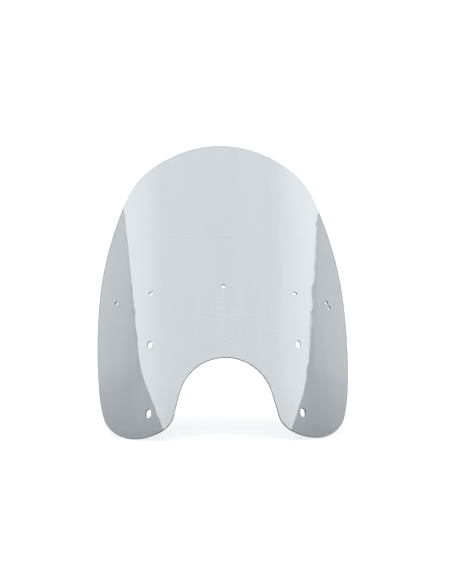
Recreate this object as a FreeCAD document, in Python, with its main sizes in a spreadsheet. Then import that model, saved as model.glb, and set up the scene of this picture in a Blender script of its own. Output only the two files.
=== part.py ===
import FreeCAD, Part
import math
import os

# Motorcycle windshield screen: one sheet of clear polycarbonate, cut to outline,
# drilled and heat-formed. The middle wraps round a large radius, and two swept-back
# wings leave it at a tight crease. The sheet frame has x across, y through the sheet
# (front face towards -y) and z up the sheet; the rake then leans it back about x.
# The origin is the centre screw hole, in the middle of the sheet's thickness.

SIZES = [
    ("thickness", 3.2),
    ("rake_angle", 33.0),
    # front face
    ("wrap_radius", 400.0),
    ("wrap_reach", 170.0),
    ("wing_radius", 900.0),
    ("crease_angle", 9.0),
    ("crease_softness", 2.0),
    ("crease_offset", 3.5),
    ("knee_across", 171.8),
    ("knee_below", 167.0),
    ("crease_upper_slope", 0.094),
    ("crease_lower_slope", 0.38),
    ("knee_roundness", 18.0),
    # outline: arcs that run into each other, from the crown down to the cut-out
    ("crown_height", 348.5),
    ("crown_radius", 282.0),
    ("crown_sweep", 32.3),
    ("shoulder_radius", 118.0),
    ("shoulder_sweep", 32.8),
    ("side_radius", 641.0),
    ("side_sweep", 21.7),
    ("hip_radius", 1296.0),
    ("hip_sweep", 9.3),
    ("skirt_radius", 346.0),
    ("skirt_sweep", 9.2),
    ("lobe_radius", 88.8),
    ("lobe_sweep", 90.4),
    ("toe_radius", 37.8),
    ("toe_sweep", 60.1),
    ("cutout_radius", 91.5),
    # screw holes and slots
    ("screw_diameter", 8.5),
    ("inner_across", 146.0),
    ("inner_up", -1.0),
    ("left_wing_across", 217.0),
    ("left_wing_up", -0.8),
    ("right_wing_across", 214.2),
    ("right_wing_up", -2.2),
    ("spare_across", 218.6),
    ("spare_up", -11.6),
    ("middle_across", 146.8),
    ("middle_up", -116.5),
    ("middle_width", 10.0),
    ("middle_length", 16.0),
    ("lower_across", 148.7),
    ("lower_up", -263.5),
    ("lower_width", 12.5),
    ("lower_length", 18.0),
    ("cutter_length", 40.0),
]

OUTLINE_ARCS = ["crown", "shoulder", "side", "hip", "skirt", "lobe", "toe"]

doc = FreeCAD.newDocument("windshield")
sheet = doc.addObject("Spreadsheet::Sheet", "sizes")
for row, (word, number) in enumerate(SIZES, start=1):
    sheet.set("A%d" % row, word)
    sheet.set("B%d" % row, str(number))
    sheet.setAlias("B%d" % row, word)
doc.recompute()


def size(word):
    return float(sheet.get(word))


# ---- front face of the sheet -------------------------------------------------

def crease_across(up):
    """Distance of each crease from their midline: straight, a rounded knee, straight again."""
    rise = up + size("knee_below")
    mean = (size("crease_upper_slope") + size("crease_lower_slope")) / 2
    turn = (size("crease_lower_slope") - size("crease_upper_slope")) / 2
    return size("knee_across") + mean * rise - turn * math.hypot(rise, size("knee_roundness"))


def wrap_depth(across):
    """How far the face curves back: one arc in the middle, a flatter one past it."""
    reach = size("wrap_reach")
    radius = size("wrap_radius")
    inside = min(abs(across), reach)
    depth = radius - math.sqrt(radius ** 2 - inside ** 2)
    beyond = abs(across) - inside
    sine = reach / radius
    outer = size("wing_radius")
    end_sine = sine + beyond / outer
    return depth + outer * (math.sqrt(1 - sine ** 2) - math.sqrt(1 - end_sine ** 2))


def crease_depth(past):
    """Extra depth of the wing, at a distance past the crease."""
    lean = math.asin(size("wrap_reach") / size("wrap_radius"))
    gain = math.tan(lean + math.radians(size("crease_angle"))) - math.tan(lean)
    return gain * (past + math.hypot(past, size("crease_softness"))) / 2


def front(across, up):
    """A point on the front face."""
    past = abs(across - size("crease_offset")) - crease_across(up)
    depth = wrap_depth(across) + crease_depth(past)
    return FreeCAD.Vector(across, depth - size("thickness") / 2, up)


def normal(across, up):
    """The direction straight back through the sheet at a point of the front face."""
    step = 0.05
    along = front(across + step, up) - front(across - step, up)
    upward = front(across, up + step) - front(across, up - step)
    return upward.cross(along).normalize()


def ladder(start, stop, count):
    return [start + (stop - start) * i / count for i in range(count)]


def averages(values):
    """Pole positions of a cubic B-spline whose knots are the given values."""
    knots = [values[0]] * 3 + list(values) + [values[-1]] * 3
    return [sum(knots[i + 1:i + 4]) / 3 for i in range(len(values) + 2)]


def across_positions():
    """Knot positions across: 0 in the middle, 1 at the crease, then 1 + distance past it."""
    middle = ladder(0.0, 0.9, 12) + [0.9, 0.94, 0.96]
    tight = [0.97 + 0.006 * i for i in range(11)]
    wing = [1.05, 1.09, 1.16, 1.3, 1.5, 1.8]
    half = middle + tight + wing
    return [-value for value in reversed(half[1:])] + half


def front_face():
    """The untrimmed front face: a cubic B-spline whose rows follow the crease."""
    columns = across_positions()
    rows = ladder(-340.0, -240.0, 4) + ladder(-240.0, -90.0, 10) + ladder(-90.0, 380.0, 8)
    rows.append(380.0)
    poles = []
    for place in averages(columns):
        poles.append([
            front(size("crease_offset") + place * crease_across(up), up) for up in averages(rows)
        ])
    surface = Part.BSplineSurface()
    ends = [4] + [1] * (len(columns) - 2) + [4]
    sides = [4] + [1] * (len(rows) - 2) + [4]
    spread = [place * size("knee_across") for place in columns]
    surface.buildFromPolesMultsKnots(poles, ends, sides, spread, rows, False, False, 3, 3)
    return surface.toShape()


# ---- outline -----------------------------------------------------------------

class Walker:
    """Draws arcs and lines that run into each other, turning clockwise."""

    def __init__(self, up):
        self.place = FreeCAD.Vector(0, 0, up)
        self.turned = 0.0
        self.edges = []

    def ahead(self):
        return FreeCAD.Vector(math.cos(self.turned), 0, -math.sin(self.turned))

    def left(self):
        return FreeCAD.Vector(math.sin(self.turned), 0, math.cos(self.turned))

    def arc(self, radius, sweep):
        """An arc to the right for a positive radius, to the left for a negative one."""
        centre = self.place - self.left() * radius
        side = math.copysign(1, radius)
        self.turned += side * sweep / 2
        middle = centre + self.left() * radius
        self.turned += side * sweep / 2
        end = centre + self.left() * radius
        self.edges.append(Part.Arc(self.place, middle, end).toShape())
        self.place = end

    def line(self, length):
        end = self.place + self.ahead() * length
        self.edges.append(Part.LineSegment(self.place, end).toShape())
        self.place = end


def half_outline():
    """The +x half, from the top of the crown to the top of the headlamp cut-out."""
    walker = Walker(size("crown_height"))
    for name in OUTLINE_ARCS:
        walker.arc(size(name + "_radius"), math.radians(size(name + "_sweep")))
    radius = size("cutout_radius")
    left = walker.left()
    centre_up = (radius + walker.place.dot(left)) / left.z
    touch = FreeCAD.Vector(0, 0, centre_up) - left * radius
    walker.line((touch - walker.place).dot(walker.ahead()))
    walker.arc(-radius, walker.turned - math.pi)
    return walker.edges


def outline_prism():
    """The outline, drawn square to the middle of the sheet and swept through it."""
    edges = half_outline()
    mirrored = [edge.mirror(FreeCAD.Vector(), FreeCAD.Vector(1, 0, 0)) for edge in edges]
    wire = Part.Wire(Part.__sortEdges__(edges + mirrored))
    wire.translate(FreeCAD.Vector(0, -50, 0))
    return Part.Face(wire).extrude(FreeCAD.Vector(0, 350, 0))


def slotted_face(slots):
    """The front face, trimmed to the outline and opened at every slot."""
    face = front_face().common(outline_prism())
    for slot in slots:
        tool = slot.Shape.copy()
        tool.Placement = RAKE.inverse() * tool.Placement
        face = face.cut(tool)
    return face.Faces[0]


# ---- object tree -------------------------------------------------------------

RAKE = FreeCAD.Placement(
    FreeCAD.Vector(), FreeCAD.Rotation(FreeCAD.Vector(1, 0, 0), -size("rake_angle"))
)


def hole_placement(across, up):
    """Local frame of a hole: z straight back through the sheet, y up the sheet."""
    back = normal(across, up)
    upward = FreeCAD.Vector(0, 0, 1)
    turn = FreeCAD.Rotation(upward.cross(back), upward, back, "ZYX")
    centre = front(across, up) + back * (size("thickness") / 2)
    return RAKE * FreeCAD.Placement(centre, turn)


def add_drill(name, across, up, diameter):
    """A round cutter through the sheet."""
    drill = doc.addObject("Part::Cylinder", name)
    drill.setExpression("Radius", "sizes.%s / 2" % diameter)
    drill.setExpression("Height", "sizes.cutter_length")
    start = FreeCAD.Placement(FreeCAD.Vector(0, 0, -size("cutter_length") / 2), FreeCAD.Rotation())
    drill.Placement = hole_placement(across, up) * start
    return drill


def add_slot(name, across, up, kind):
    """A round-ended cutter, longer up the sheet than across it."""
    reach = (size(kind + "_length") - size(kind + "_width")) / 2
    start = -size("cutter_length") / 2
    frame = hole_placement(across, up)
    pieces = []
    for end, shift in (("top", reach), ("bottom", -reach)):
        drill = doc.addObject("Part::Cylinder", name + "_" + end)
        drill.setExpression("Radius", "sizes.%s_width / 2" % kind)
        drill.setExpression("Height", "sizes.cutter_length")
        corner = FreeCAD.Vector(0, shift, start)
        drill.Placement = frame * FreeCAD.Placement(corner, FreeCAD.Rotation())
        pieces.append(drill)
    box = doc.addObject("Part::Box", name + "_web")
    box.setExpression("Length", "sizes.%s_width" % kind)
    box.setExpression("Width", "sizes.%s_length - sizes.%s_width" % (kind, kind))
    box.setExpression("Height", "sizes.cutter_length")
    corner = FreeCAD.Vector(-size(kind + "_width") / 2, -reach, start)
    box.Placement = frame * FreeCAD.Placement(corner, FreeCAD.Rotation())
    slot = doc.addObject("Part::MultiFuse", name)
    slot.Shapes = pieces + [box]
    return slot


def add_drills():
    inner = size("inner_across")
    inner_up = size("inner_up")
    places = [
        ("centre_hole", 0.0, 0.0),
        ("inner_hole_left", -inner, inner_up),
        ("inner_hole_right", inner, inner_up),
        ("wing_hole_left", -size("left_wing_across"), size("left_wing_up")),
        ("wing_hole_right", size("right_wing_across"), size("right_wing_up")),
        ("wing_hole_right_lower", size("spare_across"), size("spare_up")),
    ]
    return [add_drill(name, across, up, "screw_diameter") for name, across, up in places]


def add_slots():
    slots = []
    for kind in ("middle", "lower"):
        across = size(kind + "_across")
        up = size(kind + "_up")
        slots.append(add_slot(kind + "_slot_left", -across, up, kind))
        slots.append(add_slot(kind + "_slot_right", across, up, kind))
    return slots


slots = add_slots()
drills = add_drills()
doc.recompute()

face = doc.addObject("Part::Feature", "front_face")
face.Shape = slotted_face(slots)
face.Placement = RAKE

# The sheet is the front face thickened backwards, so every edge is square to the face.
screen = doc.addObject("Part::Offset", "thick_sheet")
screen.Source = face
screen.Fill = True
screen.setExpression("Value", "-sizes.thickness")

for drill in drills:
    drilled = doc.addObject("Part::Cut", "sheet_with_" + drill.Name)
    drilled.Base = screen
    drilled.Tool = drill
    screen = drilled
screen.Label = "windshield_screen"
doc.recompute()

for thing in doc.Objects:
    if "Invalid" in thing.State or "Error" in thing.State:
        raise RuntimeError("%s did not compute: %s" % (thing.Name, thing.State))
    if hasattr(thing, "Shape") and (thing.Shape.isNull() or not thing.Shape.isValid()):
        raise RuntimeError("%s has a bad shape" % thing.Name)
if len(screen.Shape.Solids) != 1:
    raise RuntimeError("the screen is not one solid")

os.makedirs("parts", exist_ok=True)
screen.Shape.exportStep("parts/windshield_screen.step")
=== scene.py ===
import math

import bpy
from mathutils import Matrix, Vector


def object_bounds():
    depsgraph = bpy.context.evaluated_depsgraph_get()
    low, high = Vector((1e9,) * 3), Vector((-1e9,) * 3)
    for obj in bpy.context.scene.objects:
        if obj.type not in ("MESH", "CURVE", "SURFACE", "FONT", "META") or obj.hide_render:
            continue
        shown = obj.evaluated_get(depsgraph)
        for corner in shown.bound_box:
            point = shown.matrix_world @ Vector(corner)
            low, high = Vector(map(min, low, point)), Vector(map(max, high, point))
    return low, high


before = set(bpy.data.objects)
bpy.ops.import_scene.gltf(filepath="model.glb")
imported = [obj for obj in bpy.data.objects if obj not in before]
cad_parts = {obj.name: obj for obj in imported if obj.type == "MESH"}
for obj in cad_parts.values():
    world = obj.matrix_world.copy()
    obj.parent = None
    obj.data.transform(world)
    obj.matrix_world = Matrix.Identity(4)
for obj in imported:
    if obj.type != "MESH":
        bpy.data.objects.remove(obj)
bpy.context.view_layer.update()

# ---- numbers that set the look ------------------------------------------------

# The sheet. A range is (low, high), and a glow is (at the low end, at the high end).
TINT = (0.312, 0.340, 0.362)       # what the smoke tint lets through
PALE_TINT = (0.322, 0.351, 0.373)  # the same in the sheet's faint paler streaks
EDGE_TINT_AND_PAINTED_SHADE = (0.03, 0.035, 0.04)    # the sawn edges: partly darker because light crosses much more sheet there, partly painted shade for the dark outline a clear sheet shows at its edges
INDEX = 1.58                       # polycarbonate
STREAK_SCALE = (46.0, 4.0, 3.0)    # narrow across the sheet, long down it
HAZE_SCALE = 6.0
HAZE_DETAIL = 3.0
NOISE_MIDDLE = (0.3, 0.7)          # where a noise does most of its change
POLISH = (0.01, 0.03)              # roughness of the faces
SAWN_ROUGHNESS = 0.4               # added to it on the sawn edges
LEAN = math.radians(33.0)          # how far the sheet leans back
EDGE_ACROSS = 0.70                 # a face tips less than this towards X,
EDGE_UPWARD = 0.25                 # and less than this towards up the sheet

# The backdrop and the floor.
WHITE = 1.17                       # brightness of both
PAPER = 0.60                       # how much of the floor's light a shadow can take
FLOOR_RADIUS = 40.0
FLOOR_GAP = 0.0005                 # metres from the sheet's lowest point to the floor

# The light tent, by the direction from its middle as a unit vector.
TENT_RADIUS = 6.0
TENT_COLOUR = (0.97, 0.99, 1.0)
BOX_SPREAD = (0.45, 0.74)          # the overhead box brightens over this much |x|,
BOX_GLOW = (5.5, 7.0)
BOX_EDGE = (0.755, 0.785)          # ends here,
BOX_FOOT = (0.30, 0.36)            # and starts above this z
WALL_TILT = 0.5                    # the walls change along y + WALL_TILT * z
WALL_SPREAD = (0.08, 0.42)
WALL_GLOW = (0.65, 2.9)
LOW_SPREAD = (0.04, 0.14)          # a weak glow at the walls' dark end
LOW_GLOW = (0.6, 0.0)
SIDE_SPREAD = (-0.5, 0.5)          # the wall on the +X side is dimmer
SIDE_GLOW = (0.98, 0.82)

CAMERA_TURN = -2.3                 # degrees round the object
CAMERA_RISE = 3.0                  # degrees above it
CAMERA_REACH = 2.5                 # metres from the target
CAMERA_TARGET = Vector((0.0048, -0.0067, -0.0103))
CAMERA_CLIP = (0.05, 200.0)
SENSOR = 36.0                      # millimetres
VIEW_HEIGHT = 1.168                # metres of the target plane that the frame covers


# ---- node helpers -------------------------------------------------------------

class Nodes:
    """Short names for building a node tree."""

    def __init__(self, tree):
        self.tree = tree
        tree.nodes.clear()

    def add(self, kind, **settings):
        node = self.tree.nodes.new(kind)
        for name, value in settings.items():
            setattr(node, name, value)
        return node

    def link(self, source, target):
        self.tree.links.new(source, target)

    def math(self, operation, first, second=0.0, clamp=False):
        node = self.add("ShaderNodeMath", operation=operation, use_clamp=clamp)
        for socket, value in zip(node.inputs, (first, second)):
            if isinstance(value, (int, float)):
                socket.default_value = value
            else:
                self.link(value, socket)
        return node.outputs[0]

    def ramp(self, value, low, high, start, end):
        """A smooth step of value from low..high to start..end."""
        node = self.add("ShaderNodeMapRange", interpolation_type="SMOOTHSTEP")
        self.link(value, node.inputs["Value"])
        for name, number in (
            ("From Min", low), ("From Max", high), ("To Min", start), ("To Max", end)
        ):
            node.inputs[name].default_value = number
        return node.outputs["Result"]

    def blend(self, factor, first, second):
        """A colour between first and second, each a colour or another node's output."""
        node = self.add("ShaderNodeMix", data_type="RGBA")
        self.link(factor, node.inputs["Factor"])
        for name, colour in (("A", first), ("B", second)):
            socket = node.inputs[name]
            if isinstance(colour, tuple):
                socket.default_value = (*colour, 1.0)
            else:
                self.link(colour, socket)
        return node.outputs["Result"]

    def noise(self, vector, scale, detail=2.0):
        node = self.add("ShaderNodeTexNoise")
        node.inputs["Scale"].default_value = scale
        node.inputs["Detail"].default_value = detail
        self.link(vector, node.inputs["Vector"])
        return node.outputs["Fac"]


def new_material(name):
    material = bpy.data.materials.new(name)
    material.use_nodes = True
    return material, Nodes(material.node_tree)


# ---- materials ----------------------------------------------------------------

def sawn_edge(nodes):
    """1 on the sawn outline and hole walls, which face along the sheet, else 0."""
    facing = nodes.add("ShaderNodeVectorTransform", vector_type="NORMAL")
    facing.convert_from, facing.convert_to = "WORLD", "OBJECT"
    surface = nodes.add("ShaderNodeNewGeometry")
    nodes.link(surface.outputs["True Normal"], facing.inputs[0])
    split = nodes.add("ShaderNodeSeparateXYZ")
    nodes.link(facing.outputs[0], split.inputs[0])
    across = nodes.math("ABSOLUTE", split.outputs["X"])
    upward = nodes.math("ABSOLUTE", nodes.math(
        "ADD",
        nodes.math("MULTIPLY", split.outputs["Y"], math.sin(LEAN)),
        nodes.math("MULTIPLY", split.outputs["Z"], math.cos(LEAN)),
    ))
    return nodes.math(
        "MAXIMUM",
        nodes.math("GREATER_THAN", across, EDGE_ACROSS),
        nodes.math("GREATER_THAN", upward, EDGE_UPWARD),
    )


def screen_material():
    """Polycarbonate with a light smoke tint, polished, and sawn matt at its edges, whose
    dark colour is partly painted shade.
    """
    material, nodes = new_material("smoked_polycarbonate")
    place = nodes.add("ShaderNodeTexCoord").outputs["Object"]

    stretch = nodes.add("ShaderNodeMapping")
    stretch.inputs["Scale"].default_value = STREAK_SCALE
    nodes.link(place, stretch.inputs["Vector"])
    streaks = nodes.noise(stretch.outputs["Vector"], 1.0)
    paler = nodes.ramp(streaks, *NOISE_MIDDLE, 0.0, 1.0)
    sheet = nodes.blend(paler, TINT, PALE_TINT)
    sawn = sawn_edge(nodes)
    # The sawn edges and hole walls take a near-black colour: partly the smoke tint over a
    # longer path, partly painted shade for the dark outline at the sheet's edges.
    tint = nodes.blend(sawn, sheet, EDGE_TINT_AND_PAINTED_SHADE)

    shader = nodes.add("ShaderNodeBsdfPrincipled")
    shader.inputs["IOR"].default_value = INDEX
    shader.inputs["Transmission Weight"].default_value = 1.0
    nodes.link(tint, shader.inputs["Base Color"])
    haze = nodes.noise(place, HAZE_SCALE, HAZE_DETAIL)
    polish = nodes.ramp(haze, *NOISE_MIDDLE, *POLISH)
    matt = nodes.math("ADD", polish, nodes.math("MULTIPLY", sawn, SAWN_ROUGHNESS))
    nodes.link(matt, shader.inputs["Roughness"])
    out = nodes.add("ShaderNodeOutputMaterial")
    nodes.link(shader.outputs[0], out.inputs["Surface"])
    return material


def floor_material():
    """Pale paper that partly glows, so that it fades into the backdrop."""
    material, nodes = new_material("pale_floor")
    glow = nodes.add("ShaderNodeEmission")
    glow.inputs["Color"].default_value = (1.0, 1.0, 1.0, 1.0)
    glow.inputs["Strength"].default_value = WHITE * (1.0 - PAPER)
    paper = nodes.add("ShaderNodeBsdfDiffuse")
    paper.inputs["Color"].default_value = (PAPER, PAPER, PAPER, 1.0)
    both = nodes.add("ShaderNodeAddShader")
    nodes.link(glow.outputs[0], both.inputs[0])
    nodes.link(paper.outputs[0], both.inputs[1])
    out = nodes.add("ShaderNodeOutputMaterial")
    nodes.link(both.outputs[0], out.inputs["Surface"])
    return material


def tent_material():
    """A broad box overhead that brightens to its sides, and dimmer side walls."""
    material, nodes = new_material("light_tent")
    place = nodes.add("ShaderNodeTexCoord").outputs["Object"]
    unit = nodes.add("ShaderNodeVectorMath", operation="NORMALIZE")
    nodes.link(place, unit.inputs[0])
    split = nodes.add("ShaderNodeSeparateXYZ")
    nodes.link(unit.outputs[0], split.inputs[0])
    side = nodes.math("ABSOLUTE", split.outputs["X"])
    height = split.outputs["Z"]
    box = nodes.ramp(side, *BOX_SPREAD, *BOX_GLOW)
    tilted = nodes.math("MULTIPLY", height, WALL_TILT)
    lean = nodes.math("ADD", split.outputs["Y"], tilted)
    walls = nodes.ramp(lean, *WALL_SPREAD, *WALL_GLOW)
    walls = nodes.math("ADD", walls, nodes.ramp(lean, *LOW_SPREAD, *LOW_GLOW))
    dimming = nodes.ramp(split.outputs["X"], *SIDE_SPREAD, *SIDE_GLOW)
    walls = nodes.math("MULTIPLY", walls, dimming)
    inside = nodes.ramp(side, *BOX_EDGE, 1.0, 0.0)
    above = nodes.ramp(height, *BOX_FOOT, 0.0, 1.0)
    strength = nodes.math(
        "ADD",
        nodes.math("MULTIPLY", nodes.math("MULTIPLY", box, inside), above),
        nodes.math("MULTIPLY", walls, nodes.math("SUBTRACT", 1.0, inside)),
    )
    glow = nodes.add("ShaderNodeEmission")
    glow.inputs["Color"].default_value = (*TENT_COLOUR, 1.0)
    nodes.link(strength, glow.inputs["Strength"])
    out = nodes.add("ShaderNodeOutputMaterial")
    nodes.link(glow.outputs[0], out.inputs["Surface"])
    return material


# ---- stage --------------------------------------------------------------------

def add_floor(level):
    bpy.ops.mesh.primitive_circle_add(
        vertices=96,
        radius=FLOOR_RADIUS,
        fill_type="NGON",
        location=(0.0, 0.0, level),
    )
    floor = bpy.context.object
    floor.name = "floor"
    floor.data.materials.append(floor_material())
    floor.visible_glossy = False


def add_tent():
    bpy.ops.mesh.primitive_uv_sphere_add(segments=64, ring_count=32, radius=TENT_RADIUS)
    tent = bpy.context.object
    tent.name = "light_tent"
    tent.data.materials.append(tent_material())
    tent.visible_camera = False
    tent.visible_transmission = False
    tent.visible_shadow = False
    tent.visible_diffuse = False


def add_world():
    world = bpy.data.worlds.new("studio")
    bpy.context.scene.world = world
    world.use_nodes = True
    nodes = Nodes(world.node_tree)
    white = nodes.add("ShaderNodeBackground")
    white.inputs["Color"].default_value = (1.0, 1.0, 1.0, 1.0)
    white.inputs["Strength"].default_value = WHITE
    out = nodes.add("ShaderNodeOutputWorld")
    nodes.link(white.outputs[0], out.inputs["Surface"])


def add_camera():
    data = bpy.data.cameras.new("camera")
    camera = bpy.data.objects.new("camera", data)
    bpy.context.scene.collection.objects.link(camera)
    turn = math.radians(CAMERA_TURN)
    rise = math.radians(CAMERA_RISE)
    back = Vector((
        math.sin(turn) * math.cos(rise),
        -math.cos(turn) * math.cos(rise),
        math.sin(rise),
    ))
    camera.location = CAMERA_TARGET + back * CAMERA_REACH
    camera.rotation_mode = "QUATERNION"
    camera.rotation_quaternion = (-back).to_track_quat("-Z", "Y")
    data.sensor_width = SENSOR
    data.lens = SENSOR * CAMERA_REACH / VIEW_HEIGHT
    data.clip_start, data.clip_end = CAMERA_CLIP
    bpy.context.scene.camera = camera


# ---- build --------------------------------------------------------------------

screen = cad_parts["windshield_screen"]
screen.data.materials.clear()
screen.data.materials.append(screen_material())

low_corner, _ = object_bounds()
add_floor(low_corner.z - FLOOR_GAP)
add_tent()
add_world()
add_camera()
bpy.context.scene.view_settings.view_transform = "Standard"
